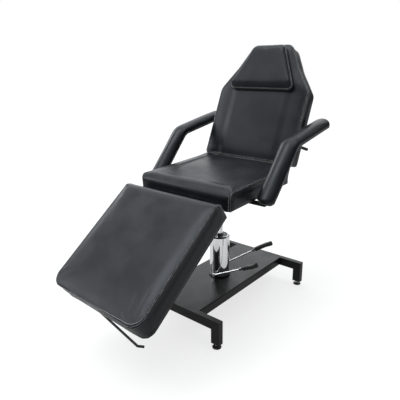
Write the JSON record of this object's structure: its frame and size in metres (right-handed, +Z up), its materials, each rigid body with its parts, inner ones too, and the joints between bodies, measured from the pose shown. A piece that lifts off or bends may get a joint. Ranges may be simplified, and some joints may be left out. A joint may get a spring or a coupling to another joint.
{
  "type": "tattoo chair",
  "caption": "Black padded tattoo chair with reclining backrest, tilting leg rest, bent armrests, head pillow and a pedal-pumped chrome lift column on a low steel base",
  "frame": {"origin": "on the floor, under the middle of the chair's plan at rest", "axes": "+Z up, +Y from the leg rest towards the backrest, +X to the right of someone who faces the leg rest"},
  "size_m": [0.84, 1.5039, 1.4376],
  "materials": {
    "frame_black": "satin",
    "plate_black": "satin",
    "pump_black": "gloss",
    "chrome": "polished",
    "zinc_steel": "satin",
    "black_steel": "satin",
    "rubber": "matte",
    "seal_rubber": "matte",
    "upholstery": "satin",
    "plywood": "matte"
  },
  "bodies": {
    "base": {"front_cross_beam": "frame_black", "rear_cross_beam": "frame_black", "cross_frame_legs": "frame_black", "foot_plugs": "zinc_steel", "foot_studs": "zinc_steel", "foot_lock_nuts": "zinc_steel", "foot_pads": "rubber", "base_plate": "plate_black", "base_plate_bolts": "zinc_steel", "pump_body": "pump_black", "pump_cover": "chrome", "pump_base_ring": "pump_black", "pump_cap": "pump_black", "pump_wiper_seal": "seal_rubber", "pump_bolts": "zinc_steel"},
    "seat": {"pump_ram": "chrome", "ram_saddle": "black_steel", "saddle_bolts": "zinc_steel", "seat_side_rails": "black_steel", "seat_cross_rails": "black_steel", "seat_hinge_ears": "black_steel", "hinge_bolts": "zinc_steel", "seat_clevises": "black_steel", "seat_board": "plywood", "seat_cushion": "upholstery", "arm_brackets": "black_steel", "arm_pivot_bolts": "zinc_steel"},
    "backrest": {"back_side_rails": "black_steel", "back_cross_rails": "black_steel", "back_hinge_plates": "black_steel", "back_clevis": "black_steel", "back_board": "plywood", "back_cushion": "upholstery", "head_pillow": "upholstery"},
    "leg_rest": {"leg_side_rails": "black_steel", "leg_cross_rails": "black_steel", "leg_hinge_plates": "black_steel", "leg_clevis": "black_steel", "leg_board": "plywood", "leg_cushion": "upholstery", "leg_lever_mount": "black_steel"},
    "back_lever": {"back_release_lever": "black_steel", "back_lever_grip": "rubber"},
    "leg_lever": {"leg_release_lever": "black_steel"},
    "leg_link": {"leg_release_link": "zinc_steel"},
    "back_barrel": {"back_spring_barrel": "pump_black"},
    "back_rod": {"back_spring_rod": "chrome"},
    "leg_barrel": {"leg_spring_barrel": "pump_black"},
    "leg_rod": {"leg_spring_rod": "chrome"},
    "arm_right": {"arm_pad_right": "upholstery", "arm_bar_right": "black_steel", "arm_screws_right": "zinc_steel"},
    "arm_left": {"arm_pad_left": "upholstery", "arm_bar_left": "black_steel", "arm_screws_left": "zinc_steel"},
    "lift_pedal": {"lift_pedal_lever": "chrome", "lift_pedal_grip": "rubber"},
    "release_pedal": {"release_pedal_lever": "chrome", "release_pedal_grip": "rubber"}
  },
  "joints": [
    {"name": "seat_lift", "type": "slide", "parent": "base", "child": "seat", "axis": [0, 0, 1], "range_m": [-0.16, 0]},
    {"name": "backrest_tilt", "type": "hinge", "parent": "seat", "child": "backrest", "pos_m": [0, 0.42802, 0.74796], "axis": [1, 0, 0], "range_deg": [-66.5, 8]},
    {"name": "leg_rest_tilt", "type": "hinge", "parent": "seat", "child": "leg_rest", "pos_m": [0, -0.14552, 0.66508], "axis": [1, 0, 0], "range_deg": [-35, 15]},
    {"name": "arm_right_fold", "type": "hinge", "parent": "seat", "child": "arm_right", "pos_m": [0.35, 0.09028, 0.68236], "axis": [1, 0, 0], "range_deg": [-48, 0]},
    {"name": "arm_left_fold", "type": "hinge", "parent": "seat", "child": "arm_left", "pos_m": [-0.35, 0.09028, 0.68236], "axis": [1, 0, 0], "range_deg": [-48, 0]},
    {"name": "back_barrel_swing", "type": "hinge", "parent": "seat", "child": "back_barrel", "pos_m": [0, 0.37549, 0.58628], "axis": [1, 0, 0], "range_deg": [-34, 5]},
    {"name": "back_rod_swing", "type": "hinge", "parent": "backrest", "child": "back_rod", "pos_m": [0, 0.57328, 0.83627], "axis": [1, 0, 0], "range_deg": [-5, 34]},
    {"name": "leg_barrel_swing", "type": "hinge", "parent": "seat", "child": "leg_barrel", "pos_m": [0, 0.00484, 0.61036], "axis": [1, 0, 0], "range_deg": [-19, 8]},
    {"name": "leg_rod_swing", "type": "hinge", "parent": "leg_rest", "child": "leg_rod", "pos_m": [0, -0.24493, 0.53971], "axis": [1, 0, 0], "range_deg": [-8, 19]},
    {"name": "back_lever_pull", "type": "hinge", "parent": "backrest", "child": "back_lever", "pos_m": [0, 0.5797, 0.87611], "axis": [1, 0, 0], "range_deg": [0, 12], "stiffness_Nm_per_rad": 2, "springref_deg": -8.59},
    {"name": "leg_lever_pull", "type": "hinge", "parent": "leg_rest", "child": "leg_lever", "pos_m": [-0.15, -0.6431, 0.26675], "axis": [0, -0.5976, 0.8018], "range_deg": [0, 6], "stiffness_Nm_per_rad": 3, "springref_deg": -5.73},
    {"name": "leg_link_push", "type": "slide", "parent": "leg_rest", "child": "leg_link", "axis": [0, 0.8018, 0.5976], "range_m": [-0.0002, 0.0066]},
    {"name": "lift_pedal_press", "type": "hinge", "parent": "base", "child": "lift_pedal", "pos_m": [-0.029, 0.231, 0.173], "axis": [0, 1, 0], "range_deg": [0, 22], "stiffness_Nm_per_rad": 6, "springref_deg": -17.19},
    {"name": "release_pedal_press", "type": "hinge", "parent": "base", "child": "release_pedal", "pos_m": [0.016, 0.081, 0.173], "axis": [0, 1, 0], "range_deg": [0, 14], "stiffness_Nm_per_rad": 6, "springref_deg": -17.19}
  ],
  "couplings": [
    {"joint": "back_barrel_swing", "follows": "backrest_tilt", "ratio": 0.5},
    {"joint": "back_rod_swing", "follows": "backrest_tilt", "ratio": -0.5},
    {"joint": "leg_barrel_swing", "follows": "leg_rest_tilt", "ratio": 0.5},
    {"joint": "leg_rod_swing", "follows": "leg_rest_tilt", "ratio": -0.5},
    {"joint": "leg_link_push", "follows": "leg_lever_pull", "m_per_rad": 0.0608}
  ]
}
